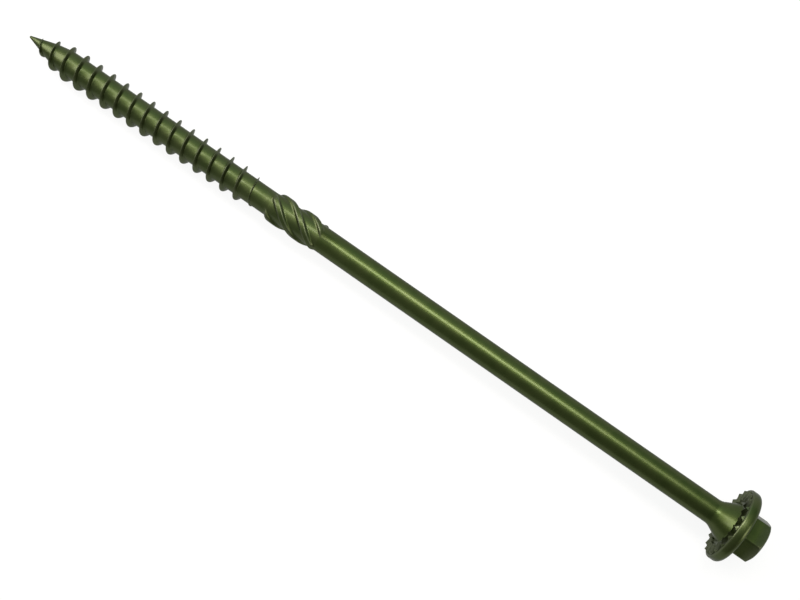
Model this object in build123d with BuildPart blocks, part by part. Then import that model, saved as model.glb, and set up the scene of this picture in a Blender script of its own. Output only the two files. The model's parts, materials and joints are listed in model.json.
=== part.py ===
"""Hex flange construction screw: a long timber screw, lying as it comes to rest.

It is one solid: a sharp point, a coarse right-hand thread, a twisted reamer that widens the hole
for the shank, a plain shank, and a hex head with a flange that is serrated underneath.
Each feature is drawn upright, with the bearing face of the flange at height zero and the point
down. The finished screw is then laid on the rim of its flange and on its thread near the point.
"""

from build123d import *
import math
import os

# Length and plain diameters
length = 160.0
shank_diameter = 5.0
root_diameter = 4.8

# Point: a cone for the nose, then a slighter one up to the core
point_length = 8.4
nose_length = 5.2
nose_diameter = 3.6
nose_flat = 0.45

# Thread
thread_diameter = 6.7
thread_pitch = 3.06
thread_length = 55.6
thread_start = 0.65
thread_start_angle = 180.0
thread_point_taper = 10.0
thread_run_out = 6.2
thread_flank_angle = 34.0
thread_crest_width = 0.12
thread_stations_per_turn = 10

# Reamer between the thread and the shank
reamer_gap = 0.2
reamer_length = 11.6
reamer_diameter = 6.1
reamer_rib_count = 4
reamer_rib_crest = 1.2
reamer_rib_base = 2.2
reamer_rib_embed = 0.6
reamer_lead = 20.8
reamer_ramp_length = 1.0
reamer_start_angle = 49.0
reamer_stations = 12

# Flare that carries the shank into the flange
flare_length = 3.3
flare_diameter = 8.4

# Flange: its rim is broken in one step under it and in two steps above
flange_diameter = 15.0
rim_height = 2.1
rim_under_edge = 0.35
rim_wall_top = 1.25
rim_shoulder_height = 1.85
rim_shoulder_inset = 0.25
rim_crown_inset = 0.85
flange_crown = 0.75

# Serrations on the bearing face
serration_count = 20
serration_height = 0.5
serration_width = 1.0
serration_inset = 0.7
serration_rim_margin = 0.1

# Hex head
hex_across_flats = 8.0
hex_corner_radius = 0.35
hex_turn = 38.0
head_height = 6.6
head_chamfer_angle = 30.0
head_face_diameter = 7.4
dimple_diameter = 4.4
dimple_depth = 0.35

# How far a ridge's foot lies inside the body that carries it, and its least distance from the axis
embed = 0.3
innermost = 0.07

# How far below the surface a crest ends where its ridge runs out
sink = 0.15

shank_radius = shank_diameter / 2
root_radius = root_diameter / 2
nose_flat_radius = nose_flat / 2
nose_radius = nose_diameter / 2
reamer_radius = reamer_diameter / 2
thread_radius = thread_diameter / 2
flare_radius = flare_diameter / 2
flange_radius = flange_diameter / 2
hex_corner_reach = hex_across_flats / math.sqrt(3)
flank_slope = math.tan(math.radians(thread_flank_angle / 2))
reamer_bottom = -length + thread_length + reamer_gap
reamer_top = reamer_bottom + reamer_length
crown_top = rim_height + flange_crown


def core_radius(from_point):
    """Radius of the point's two cones, and of the threaded core behind them."""
    if from_point < nose_length:
        return nose_flat_radius + (nose_radius - nose_flat_radius) * from_point / nose_length
    past_nose = min((from_point - nose_length) / (point_length - nose_length), 1)
    return nose_radius + (root_radius - nose_radius) * past_nose


def crest_radius(from_point):
    """Radius of the thread's crest, which grows from the point and sinks in at the other end."""
    growth = math.sin(math.pi / 2 * min(from_point / thread_point_taper, 1))
    full = thread_radius * growth
    left = min((thread_length - from_point) / thread_run_out, 1)
    sunk = root_radius - sink
    return sunk + (full - sunk) * left**2


def thread_section(from_point):
    """Plane through the screw's axis that holds the ridge at a distance from the point."""
    turned = thread_start_angle + 360 * (from_point - thread_start) / thread_pitch
    outward = Vector(1, 0, 0).rotate(Axis.Z, turned)
    across = outward.cross(Vector(0, 0, 1))
    return Plane(origin=(0, 0, from_point - length), x_dir=outward, z_dir=across)


def thread_turn(first, last):
    """One turn of the ridge, lofted through sections that follow the helix."""
    with BuildPart() as turn:
        for station in range(thread_stations_per_turn + 1):
            from_point = first + (last - first) * station / thread_stations_per_turn
            crest = crest_radius(from_point)
            inner = max(core_radius(from_point) - embed, innermost)
            crest_half = thread_crest_width / 2
            inner_half = crest_half + (crest - inner) * flank_slope
            with BuildSketch(thread_section(from_point)):
                with BuildLine():
                    Polyline(
                        (inner, -inner_half),
                        (crest, -crest_half),
                        (crest, crest_half),
                        (inner, inner_half),
                        close=True,
                    )
                make_face()
        loft()
    return turn.part


# Core: the point, the threaded core, the shank, the flare and the flange, turned in one piece
with BuildPart() as core:
    with BuildSketch(Plane.XZ):
        with BuildLine():
            Polyline(
                (0, -length),
                (nose_flat_radius, -length),
                (nose_radius, nose_length - length),
                (root_radius, point_length - length),
                (root_radius, reamer_bottom),
                (shank_radius, reamer_bottom + reamer_ramp_length),
                (shank_radius, -flare_length),
                (flare_radius, 0),
                (flange_radius - rim_under_edge, 0),
                (flange_radius, rim_under_edge),
                (flange_radius, rim_wall_top),
                (flange_radius - rim_shoulder_inset, rim_shoulder_height),
                (flange_radius - rim_crown_inset, rim_height),
                (hex_corner_reach, crown_top),
                (0, crown_top),
                close=True,
            )
        make_face()
    revolve(axis=Axis.Z)

# Thread: turn after turn of one ridge, from the point to its run-out
turn_count = round((thread_length - thread_start) / thread_pitch)
turn_advance = (thread_length - thread_start) / turn_count
thread_turns = []
for number in range(turn_count):
    turn_start = thread_start + number * turn_advance
    thread_turns.append(thread_turn(turn_start, turn_start + turn_advance))

# Reamer rib: one ridge on a steep helix, which rises out of the core and sinks back at its ends
with BuildPart() as reamer_rib:
    for station in range(reamer_stations + 1):
        along = reamer_length * station / reamer_stations
        risen = min(along, reamer_length - along, reamer_ramp_length) / reamer_ramp_length
        sunk = root_radius - sink
        crest = sunk + (reamer_radius - sunk) * math.sin(math.pi / 2 * risen)
        turned = reamer_start_angle + 360 * along / reamer_lead
        outward = Vector(1, 0, 0).rotate(Axis.Z, turned)
        with BuildSketch(Plane(origin=(0, 0, reamer_bottom + along), x_dir=outward)):
            with BuildLine():
                Polyline(
                    (root_radius - reamer_rib_embed, -reamer_rib_base / 2),
                    (crest, -reamer_rib_crest / 2),
                    (crest, reamer_rib_crest / 2),
                    (root_radius - reamer_rib_embed, reamer_rib_base / 2),
                    close=True,
                )
            make_face()
    loft()

# Serration: one low ridge that runs outward under the flange
with BuildPart() as serration:
    serration_inner = flare_radius + serration_inset
    serration_outer = flange_radius - rim_under_edge - serration_rim_margin
    with BuildSketch(Plane.YZ.offset(serration_inner)):
        with BuildLine():
            Polyline(
                (-serration_width / 2, 0),
                (0, -serration_height),
                (serration_width / 2, 0),
                (serration_width / 2, embed),
                (-serration_width / 2, embed),
                close=True,
            )
        make_face()
    extrude(amount=serration_outer - serration_inner)

# Hex: rounded corners, a turned chamfer and a shallow forging dimple in its end
with BuildPart() as hexagon:
    with BuildSketch(Plane.XY.offset(rim_height)):
        RegularPolygon(radius=hex_across_flats / 2, side_count=6, major_radius=False, rotation=hex_turn)
    extrude(amount=head_height - rim_height)
    fillet(hexagon.edges().filter_by(Axis.Z), radius=hex_corner_radius)
    with BuildSketch(Plane.XZ):
        with BuildLine():
            head_face_radius = head_face_diameter / 2
            chamfer_drop = (hex_corner_reach - head_face_radius) * math.tan(math.radians(head_chamfer_angle))
            Polyline(
                (0, rim_height),
                (hex_corner_reach, rim_height),
                (hex_corner_reach, head_height - chamfer_drop),
                (head_face_radius, head_height),
                (dimple_diameter / 2, head_height),
                (dimple_diameter / 2 - dimple_depth, head_height - dimple_depth),
                (0, head_height - dimple_depth),
                close=True,
            )
        make_face()
    revolve(axis=Axis.Z, mode=Mode.INTERSECT)

# Upright screw: every feature joined to the core
with BuildPart() as upright:
    add(core.part)
    add(thread_turns)
    with PolarLocations(0, reamer_rib_count):
        add(reamer_rib.part)
    with PolarLocations(0, serration_count):
        add(serration.part)
    add(hexagon.part)

# Resting tilt: the axis drops from the flange's rim to the first full crest near the point
contact_span = length - thread_point_taper + rim_under_edge
tilt = math.degrees(math.atan((flange_radius - thread_radius) / contact_span))
leaning = Plane(origin=(0, 0, 0), x_dir=(0, 1, 0), z_dir=Vector(1, 0, 0).rotate(Axis.Y, -tilt))
with BuildPart(leaning) as laid:
    add(upright.part)

# Screw: the laid screw with the floor under its lowest points and its box centred over the origin
reach = laid.part.bounding_box()
seat = Plane(origin=(-reach.center().X, -reach.center().Y, -reach.min.Z))
with BuildPart(seat) as screw:
    add(laid.part)

screw.part.label = "screw"
os.makedirs("parts", exist_ok=True)
export_step(screw.part, "parts/screw.step")
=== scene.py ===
"""Green coated hex flange construction screw, lying on a white studio floor with a low wall around it.

The screw is one closed mesh. It is grown upright, from its point up to its head, with the bearing
face of the flange at height zero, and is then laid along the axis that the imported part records.
"""

import json
import math

import bmesh
import bpy
from bpy.props import FloatProperty, FloatVectorProperty, IntProperty, PointerProperty
from mathutils import Matrix, Vector


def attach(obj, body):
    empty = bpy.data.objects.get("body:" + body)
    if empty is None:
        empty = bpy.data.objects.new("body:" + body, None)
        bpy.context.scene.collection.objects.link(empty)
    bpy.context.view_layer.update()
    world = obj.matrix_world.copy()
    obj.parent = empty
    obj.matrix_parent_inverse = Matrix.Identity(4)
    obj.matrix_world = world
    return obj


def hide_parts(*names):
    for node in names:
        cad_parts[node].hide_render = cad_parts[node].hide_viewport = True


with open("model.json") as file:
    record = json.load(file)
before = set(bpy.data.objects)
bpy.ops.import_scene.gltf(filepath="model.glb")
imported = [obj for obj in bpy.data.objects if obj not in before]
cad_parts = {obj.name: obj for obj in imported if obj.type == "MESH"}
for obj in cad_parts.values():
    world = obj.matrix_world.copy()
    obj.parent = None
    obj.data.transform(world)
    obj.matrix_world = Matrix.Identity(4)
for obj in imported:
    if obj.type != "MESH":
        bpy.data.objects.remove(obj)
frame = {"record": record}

bl_info = {
    "name": "Construction Screw",
    "version": (1, 0, 0),
    "blender": (4, 5, 0),
    "location": "View3D > Sidebar > Screw",
    "description": "Builds a green coated hex flange construction screw and its studio",
    "category": "Add Mesh",
}

MM = 0.001
AXIS = Vector((0, 0, 1))
ORIGIN = Vector((0, 0, 0))

# How close two vertices lie when they count as one, and the same where the thread's rings lie dense
MERGE = 0.002 * MM
MERGE_DENSE = MERGE / 8

# Height of the screw's axis halfway along it, where the picture's width is measured
SCREW_MIDDLE = 5 * MM

MOUNTS = {mount["name"]: mount for mount in frame["record"]["mounts"]}
HEX_DRIVE = MOUNTS["hex_drive"]
SHANK = MOUNTS["shank"]


def size(name, description, millimetres):
    """A length that the sidebar shows."""
    return FloatProperty(
        name=name, description=description, default=millimetres * MM, unit="LENGTH", precision=5
    )


def angle(name, description, degrees):
    """A turn or a slope that the sidebar shows in degrees."""
    return FloatProperty(
        name=name, description=description, default=math.radians(degrees), subtype="ANGLE"
    )


def number(name, description, value, least=0):
    """A plain number that the sidebar shows."""
    return FloatProperty(name=name, description=description, default=value, min=least)


def count(name, description, value, least):
    """A whole number that the sidebar shows."""
    return IntProperty(name=name, description=description, default=value, min=least)


def colour(name, description, value):
    """A colour that the sidebar shows as a swatch."""
    return FloatVectorProperty(
        name=name, description=description, default=value, subtype="COLOR", size=3, min=0, max=2
    )


class ScrewSizes(bpy.types.PropertyGroup):
    """Sizes of the screw, measured along and across its own axis."""

    segments: count("Segments", "Columns of faces around the screw: 120, 180 or 240", 120, least=120)
    length: size("Length", "From the bearing face to the point", 160)
    root_diameter: size("Root", "Diameter of the threaded core", 4.8)
    shank_diameter: size("Shank", "Diameter of the plain shank", 2 * SHANK["dims"]["r_mm"])
    point_length: size("Point", "Length of the tapered point", 8.4)
    nose_length: size("Nose", "Length of the sharper cone of the point", 5.2)
    nose_diameter: size("Nose top", "Diameter where the two cones of the point meet", 3.6)
    nose_flat: size("Nose end", "Diameter of the very end", 0.45)
    nose_blend: size("Nose blend", "Half of the length over which the cones blend", 0.9)
    thread_diameter: size("Thread", "Diameter over the crests", 6.7)
    thread_pitch: size("Pitch", "Advance of the thread in one turn", 3.06)
    thread_length: size("Thread length", "From the point to the last of the thread", 55.6)
    thread_start: size("Thread start", "From the point to where the ridge begins", 0.65)
    thread_start_angle: angle("Thread start angle", "Where around the point the ridge begins", 180)
    thread_taper: size("Thread taper", "Length over which the crest grows", 10)
    thread_run_out: size("Run-out", "Length over which the crest sinks away", 6.2)
    flank_angle: angle("Flank angle", "Angle between the two sides of the ridge", 34)
    crest_width: size("Crest", "Width of the flat on the ridge", 0.12)
    crest_round: size("Crest edge", "Rounding of the ridge's crest", 0.045)
    root_round: size("Root edge", "Rounding at the foot of the ridge", 0.16)
    reamer_gap: size("Neck", "Plain core between thread and reamer", 0.2)
    reamer_length: size("Reamer length", "Length of the reamer", 11.6)
    reamer_diameter: size("Reamer", "Diameter over the reamer's ribs", 6.1)
    reamer_lead: size("Reamer lead", "Advance of a rib in one full turn", 20.8)
    reamer_ramp: size("Reamer ramp", "Length over which a rib rises", 1)
    reamer_angle: angle("Reamer angle", "Where the first rib begins", 49)
    reamer_ribs: count("Ribs", "Ribs around the reamer", 4, least=2)
    reamer_rings: count("Reamer rings", "Rings of faces along the reamer", 44, least=12)
    shank_rings: count("Shank rings", "Rings of faces along the shank", 16, least=2)
    flare_length: size("Flare length", "Length of the cone under the flange", 3.3)
    flare_diameter: size("Flare", "Diameter of the cone at the flange", 8.4)
    flare_round: size("Flare edge", "Rounding where the shank turns into the flare", 0.6)
    flare_foot: size("Flare foot", "Rounding where the flare meets the bearing face", 0.14)
    flange_diameter: size("Flange", "Diameter of the flange", 15)
    rim_height: size("Rim", "Height of the flange at its rim", 2.1)
    rim_under: size("Rim underside", "Rounding of the rim under the flange", 0.35)
    rim_over: size("Rim top", "Rounding of the rim above the flange", 0.85)
    flange_crown: size("Crown", "Rise of the flange towards the hex", 0.75)
    serrations: count("Serrations", "Ridges under the flange", 20, least=4)
    serration_height: size("Serration height", "Height of a ridge under the flange", 0.5)
    serration_width: size("Serration width", "Width of a ridge under the flange", 1)
    serration_top: size("Serration top", "Width of the flat along a ridge", 0.12)
    serration_slope: size("Serration slope", "Length over which a ridge rises at its two ends", 0.12)
    serration_inset: size("Serration inset", "Plain ring between the flare and the ridges", 0.7)
    serration_margin: size("Serration margin", "From the ridges to the rounding of the rim", 0.1)
    hex_width: size("Hex", "Width across the flats of the head", 8)
    hex_corner: size("Hex corner", "Rounding of the six upright corners", 0.35)
    hex_fillet: size("Hex fillet", "Rounding at the foot of the hex", 0.2)
    hex_ring: size("Hex ring", "From the hex's foot to the ring of edges around its walls", 1.6)
    hex_margin: size("Hex margin", "From the corners of the hex to the ring at its foot", 0.16)
    hex_gather: size("Hex gather", "Width over which the columns of faces gather at the corners", 0.9)
    hex_turn: angle("Hex turn", "Where the first corner of the hex points", 38)
    head_height: size("Head height", "From the bearing face to the end of the head", 6.6)
    head_face: size("Head face", "Diameter where the chamfer ends", 7.4)
    head_chamfer: angle("Head chamfer", "Slope of the chamfer on the head", 30)
    head_round: size("Head edge", "How softly the edges of the chamfer and the hollow turn", 0.05)
    dimple_diameter: size("Dimple", "Diameter of the hollow in the head", 4.4)
    dimple_depth: size("Dimple depth", "Depth of the hollow in the head", 0.35)


class ScrewFinish(bpy.types.PropertyGroup):
    """Colours, gloss and grain of the coating."""

    coat: colour("Coat", "Green of the metallic coating", (0.035, 0.051, 0.0115))
    pale: colour("Pale coat", "Where the coating lies thinner", (0.048, 0.062, 0.018))
    worn: colour("Worn coat", "Where edges are rubbed", (0.105, 0.115, 0.075))
    rolled_wear: number("Rolled wear", "How far the thread and the reamer are rubbed all over", 0.15)
    edge_tint: number("Edge tint", "How bright the metal is seen edge on", 0.5)
    roughness: number("Roughness", "Roughness of the coating", 0.31)
    rolled_roughness: number("Rolled roughness", "Roughness on the thread and the reamer", 0.38)
    unevenness: number("Unevenness", "How far the roughness varies from place to place", 0.1)
    gloss: number("Gloss", "Strength of the clear layer", 0.2)
    gloss_roughness: number("Gloss roughness", "Roughness of the clear layer", 0.2)
    cloud_scale: number("Clouds", "Clouds of a paler tone along one metre", 320)
    grain_scale: number("Grain", "Grains of the skin along one metre", 5200)
    skin_depth: size("Skin depth", "Height of the coating's fine skin", 0.02)
    skin_strength: number("Skin strength", "How far the skin bends the light", 0.25)


class StudioSettings(bpy.types.PropertyGroup):
    """Camera, floor, surroundings and lamps."""

    lean: angle("Lean", "Slope of the screw in the picture", 34.83)
    lens: number("Lens", "Focal length in millimetres", 52.72, least=10)
    distance: size("Distance", "From the camera down to the floor", 225)
    camera_along: size("Camera along", "The camera's place along the screw", 14)
    view_along: size("View along", "The picture's middle along the screw", 2.7)
    view_across: size("View across", "The picture's middle across the screw", -0.96)
    floor_size: size("Floor", "Width of the floor", 8000)
    wall_height: size("Wall", "Height of the low wall around the floor", 400)
    floor_colour: colour("Floor colour", "Colour of the floor where light falls on it", (0.8, 0.8, 0.8))
    floor_glow: number("Floor glow", "How much of the floor's white is its own", 0.88)
    dim_side: colour("Dim side", "Surroundings on the side away from the key lamp", (0.46, 0.49, 0.41))
    bright_side: colour("Bright side", "Surroundings on the side of the key lamp", (0.92, 1.15, 0.95))
    point_end: number("Point end", "Brightness of the surroundings low beyond the point", 0.6)
    overhead: number("Overhead", "Brightness of the surroundings above the screw", 1.2)
    head_end: number("Head end", "Brightness of the surroundings beyond the head", 0.48)
    key_power: number("Key", "Watts of the lamp beside the camera", 0.5)
    strip_power: number("Strip", "Watts of the long lamp around the key", 0.48)
    window_power: number("Window", "Watts of the lamp beyond the point", 1.9)
    head_power: number("Head lamp", "Watts of the lamp beyond the head", 0.6)


def core_radius(sizes, from_point):
    """Radius of the point's two cones and of the core behind them, blended where they meet."""
    flat = sizes.nose_flat / 2
    nose = sizes.nose_diameter / 2
    root = sizes.root_diameter / 2

    def sharp(distance):
        if distance < sizes.nose_length:
            return flat + (nose - flat) * distance / sizes.nose_length
        past_nose = (distance - sizes.nose_length) / (sizes.point_length - sizes.nose_length)
        return nose + (root - nose) * min(past_nose, 1)

    each_way = 3
    steps = range(-each_way, each_way + 1)
    samples = [sharp(from_point + sizes.nose_blend * step / each_way) for step in steps]
    return max(sum(samples) / len(samples), flat)


def crest_radius(sizes, from_point):
    """Radius of the ridge's crest, which grows from the point and sinks away at the other end."""
    root = sizes.root_diameter / 2
    growth = math.sin(math.pi / 2 * min(max(from_point, 0) / sizes.thread_taper, 1))
    full = sizes.thread_diameter / 2 * growth
    left = min(max((sizes.thread_length - from_point) / sizes.thread_run_out, 0), 1)
    return root + (full - root) * left**2


def crown_height(sizes, radius):
    """Height of the flange's sloping top at a radius."""
    shoulder = sizes.flange_diameter / 2 - sizes.rim_over
    reach = sizes.hex_width / math.sqrt(3)
    return sizes.rim_height + sizes.flange_crown * (shoulder - radius) / (shoulder - reach)


def placed(around, radius, height):
    """The point at an angle around the screw's axis."""
    return Vector((radius * math.cos(around), radius * math.sin(around), height))


def polar(point):
    """Angle and radius of a point around the screw's axis."""
    return math.atan2(point.y, point.x), math.hypot(point.x, point.y)


def verts_of(items):
    """The vertices among what an operator returns."""
    return [item for item in items if isinstance(item, bmesh.types.BMVert)]


def add_wire(bm, outline):
    """A chain of edges through points given as radius and height."""
    verts = [bm.verts.new((radius, 0, height)) for radius, height in outline]
    for first, second in zip(verts, verts[1:]):
        bm.edges.new((first, second))
    return verts


def round_corners(bm, verts, offset, segments):
    """Rounds the given corners of a chain of edges."""
    bmesh.ops.bevel(
        bm, geom=verts, offset=offset, segments=segments, profile=0.5, affect="VERTICES", material=-1
    )


def ring_at(bm, height):
    """The open edges that lie in the plane at a height."""
    return [
        edge for edge in bm.edges
        if edge.is_boundary and all(abs(vert.co.z - height) < MERGE for vert in edge.verts)
    ]


def grow_ring(bm, ring, place):
    """Extrudes an open ring of edges and puts each new vertex where place says."""
    grown = bmesh.ops.extrude_edge_only(bm, edges=ring)["geom"]
    verts = set(verts_of(grown))
    for vert in verts:
        vert.co = place(vert)
    return [
        item for item in grown
        if isinstance(item, bmesh.types.BMEdge) and item.verts[0] in verts and item.verts[1] in verts
    ]


def round_ring(radius, height):
    """Places a ring's vertices on a circle, each at the angle it has."""
    return lambda vert: placed(polar(vert.co)[0], radius, height)


def column_step(sizes):
    """Angle from one column of faces to the next."""
    return 2 * math.pi / sizes.segments


def column_number(sizes, around, start_angle, known_angle):
    """Number of the column at an angle, counted from a start. One of the columns is at a known angle."""
    step = column_step(sizes)

    # How far the nearest column lies from the start, as a share of the step
    lag = (known_angle - start_angle) / step
    lag -= round(lag)

    return round((around - start_angle) / step - lag) % sizes.segments


def numbered_ring(bm, sizes, height, start_angle):
    """The open ring at a height, and the layer that holds each vertex's column past an angle."""
    column = bm.verts.layers.int.new("column")
    ring = ring_at(bm, height)
    known_angle = polar(ring[0].verts[0].co)[0]
    for vert in {vert for edge in ring for vert in edge.verts}:
        vert[column] = column_number(sizes, polar(vert.co)[0], start_angle, known_angle)
    return ring, column


def from_middle(index, per_group):
    """How far a column lies from the middle one of its group, on either side."""
    return (index + per_group // 2) % per_group - per_group // 2


def close_ring(bm, ring):
    """Closes a small open ring with one face."""
    bmesh.ops.contextual_create(bm, geom=ring)


def half_ridge(sizes):
    """Half of the width of the thread's full ridge where it leaves the core."""
    rise = (sizes.thread_diameter - sizes.root_diameter) / 2
    return sizes.crest_width / 2 + rise * math.tan(sizes.flank_angle / 2)


def spin_one_pitch(bm, sizes):
    """One pitch of the thread's outline, spun along its helix and repeated turn after turn."""
    root = sizes.root_diameter / 2
    crest = sizes.thread_diameter / 2
    half_pitch = sizes.thread_pitch / 2
    half_crest = sizes.crest_width / 2
    half_foot = half_ridge(sizes)
    corners = add_wire(bm, [
        (root, -half_pitch), (root, -half_foot), (crest, -half_crest),
        (crest, half_crest), (root, half_foot), (root, half_pitch),
    ])
    feet = [corners[1], corners[4]]
    crests = corners[2:4]
    round_corners(bm, feet, sizes.root_round, segments=3)
    round_corners(bm, crests, sizes.crest_round, segments=2)
    rotation = Matrix.Rotation(sizes.thread_start_angle, 3, AXIS)
    bmesh.ops.rotate(bm, verts=bm.verts, cent=ORIGIN, matrix=rotation)
    turns_before = 2
    start = sizes.thread_start - sizes.length - turns_before * sizes.thread_pitch
    bmesh.ops.translate(bm, verts=bm.verts, vec=AXIS * start)
    advance = AXIS * sizes.thread_pitch
    bmesh.ops.spin(
        bm, geom=bm.verts[:] + bm.edges[:], cent=ORIGIN, axis=AXIS,
        dvec=advance / sizes.segments, angle=2 * math.pi, steps=sizes.segments,
    )
    one_turn = bm.verts[:] + bm.edges[:] + bm.faces[:]
    span = sizes.thread_length + sizes.reamer_gap - sizes.thread_start + half_pitch
    turns = turns_before + math.ceil(span / sizes.thread_pitch)
    for turn in range(1, turns):
        copied = bmesh.ops.duplicate(bm, geom=one_turn)["geom"]
        bmesh.ops.translate(bm, verts=verts_of(copied), vec=advance * turn)
    bmesh.ops.remove_doubles(bm, verts=bm.verts, dist=MERGE)


def shape_thread(bm, sizes):
    """Fits the straight thread to the point and the run-out, and cuts it level at both ends."""
    root = sizes.root_diameter / 2
    rise = sizes.thread_diameter / 2 - root
    ridge_reach = half_ridge(sizes) + sizes.root_round

    # Share of its width that a ridge keeps where it has sunk, so that its rings stay apart
    least_width = 0.05

    bottom = -sizes.length
    top = bottom + sizes.thread_length + sizes.reamer_gap
    for vert in bm.verts:
        around, radius = polar(vert.co)
        share = (radius - root) / rise
        turned = (around - sizes.thread_start_angle) / (2 * math.pi)
        helix = bottom + sizes.thread_start + sizes.thread_pitch * turned
        middle = helix + sizes.thread_pitch * round((vert.co.z - helix) / sizes.thread_pitch)
        from_point = middle - bottom
        depth = max(crest_radius(sizes, from_point) - core_radius(sizes, from_point), 0)
        offset = vert.co.z - middle
        if abs(offset) < ridge_reach:
            offset *= max(depth / rise, least_width)
        height = min(max(middle + offset, bottom), top)
        vert.co = placed(around, core_radius(sizes, height - bottom) + share * depth, height)
    bmesh.ops.remove_doubles(bm, verts=bm.verts, dist=MERGE_DENSE)


def add_thread(bm, sizes):
    """The point, the threaded core and the neck."""
    spin_one_pitch(bm, sizes)
    shape_thread(bm, sizes)
    flat = sizes.nose_flat / 2
    ring = ring_at(bm, -sizes.length)

    # Two rings round off the very end, at these shares of its radius
    for share in (0.8, 0.4):
        drop = flat * math.sqrt(1 - share**2) / 2
        ring = grow_ring(bm, ring, round_ring(flat * share, -sizes.length - drop))
    close_ring(bm, ring)


def reamer_bottom(sizes):
    """Height where the neck ends and the reamer begins."""
    return sizes.thread_length + sizes.reamer_gap - sizes.length


def reamer_top(sizes):
    """Height where the reamer ends and the shank begins."""
    return reamer_bottom(sizes) + sizes.reamer_length


def rib_outline(sizes, offset):
    """Angle and share of a rib's height, for a column that is offset from the rib's middle."""
    half_columns = sizes.segments / sizes.reamer_ribs / 2
    half_angle = 360 / sizes.reamer_ribs / 2

    # Columns away from the rib's middle, degrees away from it, and the share of its height there
    steps = [
        (0, 0, 1), (3, 9.5, 1), (4, 12, 0.9), (5, 14.5, 0.65), (6, 17, 0.35), (7, 19.5, 0.1),
        (8, 22.5, 0), (half_columns, half_angle, 0),
    ]
    away = abs(offset)
    for (low, low_angle, low_share), (high, high_angle, high_share) in zip(steps, steps[1:]):
        if away <= high:
            part = (away - low) / (high - low)
            turned = math.radians(low_angle + (high_angle - low_angle) * part)
            return math.copysign(turned, offset), low_share + (high_share - low_share) * part


def add_reamer(bm, sizes):
    """Ring after ring, each turned further, with ribs that rise and sink. Returns the last turn."""
    bottom = reamer_bottom(sizes)
    step = column_step(sizes)
    per_rib = sizes.segments // sizes.reamer_ribs
    root = sizes.root_diameter / 2
    shank = sizes.shank_diameter / 2
    crest = sizes.reamer_diameter / 2
    ring, column = numbered_ring(bm, sizes, bottom, sizes.reamer_angle)
    for row in range(1, sizes.reamer_rings + 1):
        along = sizes.reamer_length * row / sizes.reamer_rings
        to_end = min(along, sizes.reamer_length - along, sizes.reamer_ramp) / sizes.reamer_ramp
        risen = math.sin(math.pi / 2 * to_end)
        base = root + (shank - root) * min(along / sizes.reamer_ramp, 1)
        twist = sizes.reamer_angle + 2 * math.pi * along / sizes.reamer_lead

        def rib_point(vert):
            offset = from_middle(vert[column], per_rib)
            shaped, share = rib_outline(sizes, offset)
            turned = vert[column] * step + (shaped - offset * step) * risen
            return placed(twist + turned, base + share * risen * (crest - base), bottom + along)

        ring = grow_ring(bm, ring, rib_point)
    bm.verts.layers.int.remove(column)
    return twist


def hex_foot(sizes):
    """Radii on the flange's crown: around the hex's foot, and where its columns start to gather."""
    foot = sizes.hex_width / math.sqrt(3) + sizes.hex_margin
    return foot, foot + sizes.hex_gather


def serrated_ring(sizes):
    """Inner and outer radius of the ridges under the flange."""
    inner = sizes.flare_diameter / 2 + sizes.serration_inset
    outer = sizes.flange_diameter / 2 - sizes.rim_under - sizes.serration_margin
    return inner, outer


def flange_outline(sizes):
    """Corners from the reamer to near the hex: radius, height, rounding and the rounding's steps."""
    shank = sizes.shank_diameter / 2
    flare = sizes.flare_diameter / 2
    rim = sizes.flange_diameter / 2
    inner, outer = serrated_ring(sizes)
    end = sizes.serration_slope
    gather = hex_foot(sizes)[1]
    bottom = reamer_top(sizes)
    top = -sizes.flare_length - sizes.flare_round
    rows = [bottom + (top - bottom) * row / sizes.shank_rings for row in range(sizes.shank_rings + 1)]
    corners = [(shank, height, 0, 0) for height in rows]
    corners += [(shank, -sizes.flare_length, sizes.flare_round, 6), (flare, 0, sizes.flare_foot, 3)]
    corners += [(radius, 0, 0, 0) for radius in (inner, inner + end, outer - end, outer)]
    corners += [(rim, 0, sizes.rim_under, 4), (rim, sizes.rim_height, sizes.rim_over, 8)]
    corners += [(gather, crown_height(sizes, gather), 0, 0)]
    return corners


def add_flange(bm, sizes, start_angle):
    """The shank, the flare and the flange, turned from one outline that starts at a column."""
    outline = flange_outline(sizes)
    before = set(bm.verts)
    corners = add_wire(bm, [(radius, height) for radius, height, _, _ in outline])
    for corner, (_, _, rounding, steps) in zip(corners, outline):
        if steps:
            round_corners(bm, [corner], rounding, steps)
    verts = [vert for vert in bm.verts if vert not in before]
    edges = [edge for edge in bm.edges if not before.intersection(edge.verts)]
    rotation = Matrix.Rotation(start_angle, 3, AXIS)
    bmesh.ops.rotate(bm, verts=verts, cent=ORIGIN, matrix=rotation)
    bmesh.ops.spin(
        bm, geom=verts + edges, cent=ORIGIN, axis=AXIS, dvec=ORIGIN,
        angle=2 * math.pi, steps=sizes.segments, use_merge=True,
    )
    bmesh.ops.remove_doubles(bm, verts=bm.verts, dist=MERGE)


def raise_serrations(bm, sizes, known_angle):
    """Turns the two middle rings of the bearing face into a crown of low radial ridges."""
    step = column_step(sizes)
    per_ridge = sizes.segments // sizes.serrations
    half_top = sizes.serration_top / 2
    half_foot = sizes.serration_width / 2
    inner, outer = serrated_ring(sizes)
    for vert in bm.verts:
        around, radius = polar(vert.co)
        if abs(vert.co.z) > MERGE or not inner + MERGE < radius < outer - MERGE:
            continue
        column = column_number(sizes, around, 0, known_angle)
        past = column % per_ridge
        middle = (column - past) * step

        # The first two columns of a ridge hold its top, the others its foot, the valley and the next foot
        valley = (per_ridge * step - 2 * half_foot / radius) / (per_ridge - 3)
        turns = [-half_top / radius, half_top / radius]
        turns += [half_foot / radius + valley * index for index in range(per_ridge - 2)]
        height = -sizes.serration_height if past < 2 else 0
        vert.co = placed(middle + turns[past], radius, height)


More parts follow.
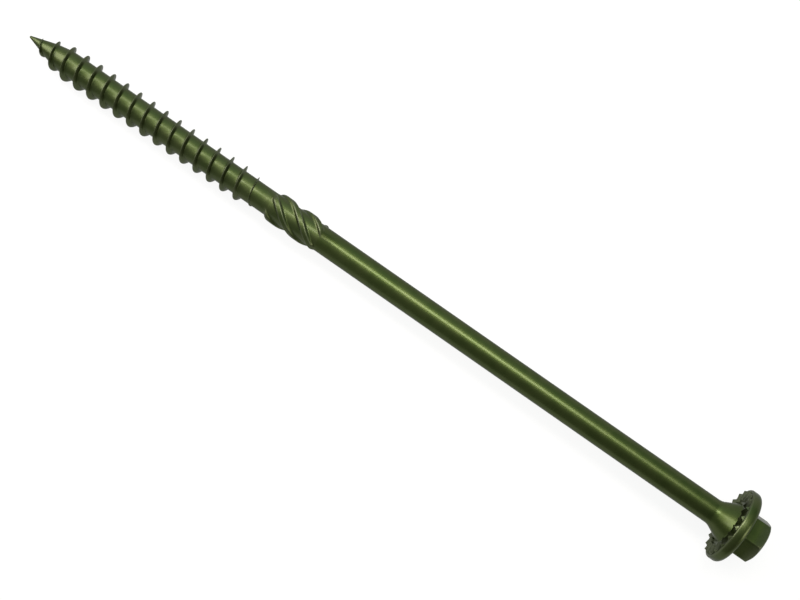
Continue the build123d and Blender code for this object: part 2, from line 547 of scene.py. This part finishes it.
def hex_outline(sizes, offset):
    """Angle and radius on the rounded hex, for a column that is offset from a corner."""
    # Columns on each side of a corner that follow its rounding, and columns up to a side's middle
    corner_steps = 3
    side_steps = sizes.segments / 12

    centre = sizes.hex_width / math.sqrt(3) - sizes.hex_corner / math.cos(math.pi / 6)
    away = abs(offset)
    arc = math.pi / 6 * min(away / corner_steps, 1)
    x = centre + sizes.hex_corner * math.cos(arc)
    y = sizes.hex_corner * math.sin(arc)
    if away > corner_steps:
        part = (away - corner_steps) / (side_steps - corner_steps)
        flat = sizes.hex_width / 2
        x += (flat * math.cos(math.pi / 6) - x) * part
        y += (flat * math.sin(math.pi / 6) - y) * part
    return math.copysign(math.atan2(y, x), offset), math.hypot(x, y)


def add_hexagon(bm, sizes):
    """The hex head: its walls, the turned chamfer and the hollow in its end."""
    step = column_step(sizes)
    per_corner = sizes.segments // 6
    face = sizes.head_face / 2
    hollow = sizes.dimple_diameter / 2
    top = sizes.head_height
    floor = top - sizes.dimple_depth
    floor_edge = hollow - sizes.dimple_depth
    slope = math.tan(sizes.head_chamfer)
    foot, gather = hex_foot(sizes)
    base = crown_height(sizes, foot)
    soft = sizes.head_round
    ring, column = numbered_ring(bm, sizes, crown_height(sizes, gather), sizes.hex_turn)

    def gathered(vert):
        offset = from_middle(vert[column], per_corner)
        turned, radius = hex_outline(sizes, offset)
        even = sizes.hex_turn + vert[column] * step
        return even, turned - offset * step, radius

    def on_crown(share):
        radius = gather + (foot - gather) * share

        def place(vert):
            even, shift, _ = gathered(vert)
            return placed(even + shift * share, radius, crown_height(sizes, radius))
        return place

    def on_hexagon(outwards, height):
        def place(vert):
            even, shift, radius = gathered(vert)
            return placed(even + shift, radius + outwards, height)
        return place

    def on_hollow(radius, height):
        return lambda vert: placed(gathered(vert)[0], radius, height)

    def on_chamfer(inwards, drop):
        def place(vert):
            around, radius = polar(vert.co)
            height = top - (radius - face) * slope - drop
            return placed(around, radius - inwards, height)
        return place

    # The fillet's rings outwards from the walls and up from the crown, as shares of its size
    fillet = [(0.4, 0.15), (0.125, 0.5), (0, 1)]
    wall = [(outwards * sizes.hex_fillet, lift * sizes.hex_fillet) for outwards, lift in fillet]
    wall.append((0, sizes.hex_ring))

    # Radius and height of the rings on the edge of the end face, and in the hollow
    face_edge = [(face + 2 * soft, top - 2 * soft * slope), (face, top - soft / 3), (face - 2 * soft, top)]
    hollow_rings = [
        (hollow + 2 * soft, top), (hollow, top - soft / 2), (hollow - 2 * soft, top - 2 * soft),
        (floor_edge, floor + soft), (floor_edge - 3 * soft, floor), (hollow / 3, floor),
    ]

    places = [on_crown(part) for part in (1 / 3, 2 / 3, 1)]
    places += [on_hexagon(outwards, base + lift) for outwards, lift in wall]
    places += [on_chamfer(0, 2 * soft), on_chamfer(soft, soft * slope / 2)]
    places += [round_ring(radius, height) for radius, height in face_edge]
    places += [on_hollow(radius, height) for radius, height in hollow_rings]
    for place in places:
        ring = grow_ring(bm, ring, place)
    close_ring(bm, ring)
    bm.verts.layers.int.remove(column)


def mark_surface(bm, sizes):
    """Stores how sharply each vertex stands out, for rubbed edges, and where the steel is rolled."""
    wear = bm.verts.layers.float.new("wear")
    rolled = bm.verts.layers.float.new("rolled")
    rolled_top = reamer_top(sizes)

    # Wear grows from nothing to full between these two turns of the surface
    plain = math.radians(6)
    sharp = math.radians(34)

    for vert in bm.verts:
        turn = max(edge.calc_face_angle_signed(0) for edge in vert.link_edges)
        vert[wear] = min(max((turn - plain) / (sharp - plain), 0), 1)
        vert[rolled] = vert.co.z < rolled_top


def smooth_faces(bm):
    """Shades the faces smooth and keeps the sharpest edges crisp."""
    crisp = math.radians(50)
    for face in bm.faces:
        face.smooth = True
    for edge in bm.edges:
        edge.smooth = edge.calc_face_angle(0) < crisp


def lying_place(sizes):
    """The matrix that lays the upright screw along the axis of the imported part."""
    along = Vector(HEX_DRIVE["axis"]).normalized()
    sideways = Vector((0, 1, 0))
    upwards = along.cross(sideways)
    turn = Matrix((sideways, upwards, along)).transposed().to_4x4()
    bearing_centre = Vector(HEX_DRIVE["pos_m"]) - along * sizes.head_height
    return Matrix.Translation(bearing_centre) @ turn


def add_node(tree, kind, **inputs):
    """A shader node with values for its sockets, named with underscores for spaces."""
    node = tree.nodes.new(kind)
    for name, value in inputs.items():
        node.inputs[name.replace("_", " ")].default_value = value
    return node


def add_math(tree, operation, first, second):
    """A maths node. Each of its two inputs is a number or a socket."""
    node = tree.nodes.new("ShaderNodeMath")
    node.operation = operation
    for socket, value in zip(node.inputs, (first, second)):
        if isinstance(value, bpy.types.NodeSocket):
            tree.links.new(value, socket)
        else:
            socket.default_value = value
    return node.outputs[0]


def add_mix(tree, factor, first, second):
    """A colour mix. The two colours are plain colours or sockets."""
    node = tree.nodes.new("ShaderNodeMix")
    node.data_type = "RGBA"
    sockets = [socket for socket in node.inputs if socket.type == "RGBA"]
    tree.links.new(factor, node.inputs[0])
    for socket, value in zip(sockets, (first, second)):
        if isinstance(value, bpy.types.NodeSocket):
            tree.links.new(value, socket)
        else:
            socket.default_value = (*value, 1)
    return next(socket for socket in node.outputs if socket.type == "RGBA")


def add_ramp(tree, value, start, end, low=0, high=1):
    """A value that goes from low to high while the given one goes from start to end."""
    node = add_node(
        tree, "ShaderNodeMapRange", From_Min=start, From_Max=end, To_Min=low, To_Max=high
    )
    tree.links.new(value, node.inputs["Value"])
    return node.outputs["Result"]


def add_noise(tree, place, scale, detail, **inputs):
    """A noise that lies fixed in the screw."""
    node = add_node(tree, "ShaderNodeTexNoise", Scale=scale, Detail=detail, **inputs)
    tree.links.new(place, node.inputs["Vector"])
    return node.outputs["Fac"]


def add_attribute(tree, name):
    """The value that the mesh stores under a name."""
    node = tree.nodes.new("ShaderNodeAttribute")
    node.attribute_name = name
    return node.outputs["Fac"]


def new_material(name):
    """An empty node material, its tree and its Principled shader."""
    material = bpy.data.materials.new(name)
    material.use_nodes = True
    return material, material.node_tree, material.node_tree.nodes["Principled BSDF"]


def coat_material(finish):
    """Metallic green coating over steel: slow changes of tone, rubbed edges and a fine skin."""
    material, tree, shader = new_material("coated_steel")
    links = tree.links
    place = tree.nodes.new("ShaderNodeTexCoord").outputs["Object"]
    clouds = add_noise(tree, place, finish.cloud_scale, detail=5, Roughness=0.6)
    grain = add_noise(tree, place, finish.grain_scale, detail=2)
    coat = add_mix(tree, add_ramp(tree, clouds, start=0.35, end=0.7), finish.coat, finish.pale)
    rolled = add_attribute(tree, "rolled")
    wear = add_math(tree, "MULTIPLY", rolled, finish.rolled_wear)
    wear = add_math(tree, "ADD", wear, add_attribute(tree, "wear"))
    rubbed = add_math(tree, "MULTIPLY", wear, grain)
    links.new(add_mix(tree, rubbed, coat, finish.worn), shader.inputs["Base Color"])
    rough = add_ramp(
        tree, rolled, start=0, end=1, low=finish.roughness, high=finish.rolled_roughness
    )
    uneven = add_math(tree, "MULTIPLY", clouds, finish.unevenness)
    links.new(add_math(tree, "ADD", rough, uneven), shader.inputs["Roughness"])
    skin = add_node(tree, "ShaderNodeBump", Strength=finish.skin_strength, Distance=finish.skin_depth)
    links.new(grain, skin.inputs["Height"])
    links.new(skin.outputs["Normal"], shader.inputs["Normal"])
    tint = finish.edge_tint
    shader.inputs["Metallic"].default_value = 1
    shader.inputs["Specular Tint"].default_value = (tint, tint, tint, 1)
    shader.inputs["Coat Weight"].default_value = finish.gloss
    shader.inputs["Coat Roughness"].default_value = finish.gloss_roughness
    return material


def floor_material(settings):
    """White floor and wall that the camera and the metal see as white, with the screw's faint shadow."""
    material, tree, shader = new_material("white_floor")
    shader.inputs["Base Color"].default_value = (*settings.floor_colour, 1)
    shader.inputs["Roughness"].default_value = 0.9
    shader.inputs["Specular IOR Level"].default_value = 0
    path = tree.nodes.new("ShaderNodeLightPath").outputs
    seen = add_math(tree, "MAXIMUM", path["Is Camera Ray"], path["Is Glossy Ray"])
    seen = add_math(tree, "MAXIMUM", seen, path["Is Transmission Ray"])
    share = add_math(tree, "MULTIPLY", seen, settings.floor_glow)
    glow = add_node(tree, "ShaderNodeEmission", Strength=1)
    blend = tree.nodes.new("ShaderNodeMixShader")
    tree.links.new(share, blend.inputs[0])
    tree.links.new(shader.outputs["BSDF"], blend.inputs[1])
    tree.links.new(glow.outputs["Emission"], blend.inputs[2])
    tree.links.new(blend.outputs["Shader"], tree.nodes["Material Output"].inputs["Surface"])
    return material


def studio_world(settings):
    """Soft surroundings, brighter and cooler on the key lamp's side, which fade past both ends."""
    world = bpy.data.worlds.new("studio")
    bpy.context.scene.world = world
    world.use_nodes = True
    tree = world.node_tree
    direction = tree.nodes.new("ShaderNodeTexCoord").outputs["Generated"]
    parts = tree.nodes.new("ShaderNodeSeparateXYZ")
    tree.links.new(direction, parts.inputs["Vector"])
    along, across = parts.outputs["X"], parts.outputs["Y"]
    side = add_ramp(tree, across, start=-0.4, end=0.7)
    sky = add_mix(tree, side, settings.dim_side, settings.bright_side)
    rise = add_ramp(
        tree, along, start=-0.75, end=-0.35, low=settings.point_end, high=settings.overhead
    )
    head_share = settings.head_end / settings.overhead
    fade = add_ramp(tree, along, start=-0.2, end=0.32, low=1, high=head_share)
    strength = add_math(tree, "MULTIPLY", rise, fade)
    tree.links.new(sky, tree.nodes["Background"].inputs["Color"])
    tree.links.new(strength, tree.nodes["Background"].inputs["Strength"])


def add_lamp(name, place, aim, width, depth, power, tint):
    """A soft rectangular lamp that faces a point. Lengths are in millimetres."""
    place = Vector(place) * MM
    aim = Vector(aim) * MM
    data = bpy.data.lights.new(name, "AREA")
    data.shape = "RECTANGLE"
    data.size = width * MM
    data.size_y = depth * MM
    data.energy = power
    data.color = tint
    lamp = bpy.data.objects.new(name, data)
    lamp.location = place
    lamp.rotation_euler = (aim - place).to_track_quat("-Z", "Y").to_euler()
    bpy.context.scene.collection.objects.link(lamp)


def add_lamps(settings):
    """The key lamp beside the camera, a long strip around it, and a soft lamp beyond each end."""
    beside, above, depth = 118, 270, 75
    warm = (1, 0.93, 0.9)
    pink = (1, 0.92, 0.95)
    amber = (1, 0.9, 0.85)
    add_lamp("key", (-8, beside, above), (-8, 0, 0), 140, depth, settings.key_power, warm)
    add_lamp("strip", (-60, beside, above), (-60, 0, 0), 360, depth, settings.strip_power, warm)
    add_lamp("window", (-360, 20, 250), (0, 0, 0), 300, 260, settings.window_power, pink)
    add_lamp("head_lamp", (400, 20, 200), (80, 0, 0), 200, 200, settings.head_power, amber)


def add_camera(settings):
    """The camera that looks straight down, turned and shifted as the photograph is framed."""
    data = bpy.data.cameras.new("camera")
    data.lens = settings.lens
    data.sensor_width = 36
    seen_width = data.sensor_width / data.lens * (settings.distance - SCREW_MIDDLE)
    shift = (settings.view_along - settings.camera_along) / seen_width
    data.shift_x = shift * math.cos(settings.lean)
    data.shift_y = -shift * math.sin(settings.lean)
    camera = bpy.data.objects.new("camera", data)
    camera.location = (settings.camera_along, settings.view_across, settings.distance)
    camera.rotation_euler = (0, 0, settings.lean)
    bpy.context.scene.collection.objects.link(camera)
    bpy.context.scene.camera = camera


def mesh_object(name, bm, material):
    """Turns a finished bmesh into an object at the origin."""
    mesh = bpy.data.meshes.new(name)
    bm.to_mesh(mesh)
    bm.free()
    mesh.materials.append(material)
    piece = bpy.data.objects.new(name, mesh)
    bpy.context.scene.collection.objects.link(piece)
    return piece


class SCREW_OT_screw(bpy.types.Operator):
    """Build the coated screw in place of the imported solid"""

    bl_idname = "screw.build_screw"
    bl_label = "Screw"

    def execute(self, context):
        sizes = context.scene.screw_sizes
        bm = bmesh.new()
        add_thread(bm, sizes)
        start_angle = add_reamer(bm, sizes)
        add_flange(bm, sizes, start_angle)
        raise_serrations(bm, sizes, start_angle)
        add_hexagon(bm, sizes)
        bmesh.ops.recalc_face_normals(bm, faces=bm.faces)
        if not all(edge.is_manifold for edge in bm.edges):
            raise RuntimeError("The screw's mesh isn't closed")
        mark_surface(bm, sizes)
        smooth_faces(bm)
        bmesh.ops.transform(bm, matrix=lying_place(sizes), verts=bm.verts)
        screw = mesh_object("coated_screw", bm, coat_material(context.scene.screw_finish))
        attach(screw, "root")
        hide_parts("screw")
        return {"FINISHED"}


class SCREW_OT_studio(bpy.types.Operator):
    """Add the floor, the camera and the lamps"""

    bl_idname = "screw.build_studio"
    bl_label = "Studio"

    def execute(self, context):
        settings = context.scene.screw_studio
        bm = bmesh.new()
        bmesh.ops.create_grid(bm, x_segments=1, y_segments=1, size=settings.floor_size / 2)
        wall = bmesh.ops.extrude_edge_only(bm, edges=bm.edges)["geom"]
        bmesh.ops.translate(bm, verts=verts_of(wall), vec=AXIS * settings.wall_height)
        mesh_object("floor", bm, floor_material(settings))
        studio_world(settings)
        add_camera(settings)
        add_lamps(settings)
        context.scene.view_settings.view_transform = "Standard"
        return {"FINISHED"}


class SCREW_PT_panel(bpy.types.Panel):
    """Sidebar panel for the screw and its studio"""

    bl_idname = "SCREW_PT_panel"
    bl_label = "Construction Screw"
    bl_space_type = "VIEW_3D"
    bl_region_type = "UI"
    bl_category = "Screw"

    def draw(self, context):
        scene = context.scene
        self.layout.operator(SCREW_OT_screw.bl_idname)
        self.layout.operator(SCREW_OT_studio.bl_idname)
        for group in (scene.screw_sizes, scene.screw_finish, scene.screw_studio):
            for name in group.__annotations__:
                self.layout.prop(group, name)


CLASSES = (ScrewSizes, ScrewFinish, StudioSettings, SCREW_OT_screw, SCREW_OT_studio, SCREW_PT_panel)


def register():
    """Adds the classes and their settings to Blender."""
    for cls in CLASSES:
        bpy.utils.register_class(cls)
    bpy.types.Scene.screw_sizes = PointerProperty(type=ScrewSizes)
    bpy.types.Scene.screw_finish = PointerProperty(type=ScrewFinish)
    bpy.types.Scene.screw_studio = PointerProperty(type=StudioSettings)


def unregister():
    """Takes the settings and the classes away again."""
    del bpy.types.Scene.screw_studio
    del bpy.types.Scene.screw_finish
    del bpy.types.Scene.screw_sizes
    for cls in reversed(CLASSES):
        bpy.utils.unregister_class(cls)


def main():
    """Builds the screw and its studio."""
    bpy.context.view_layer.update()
    register()
    bpy.ops.screw.build_screw()
    bpy.ops.screw.build_studio()


if __name__ == "__main__":
    main()
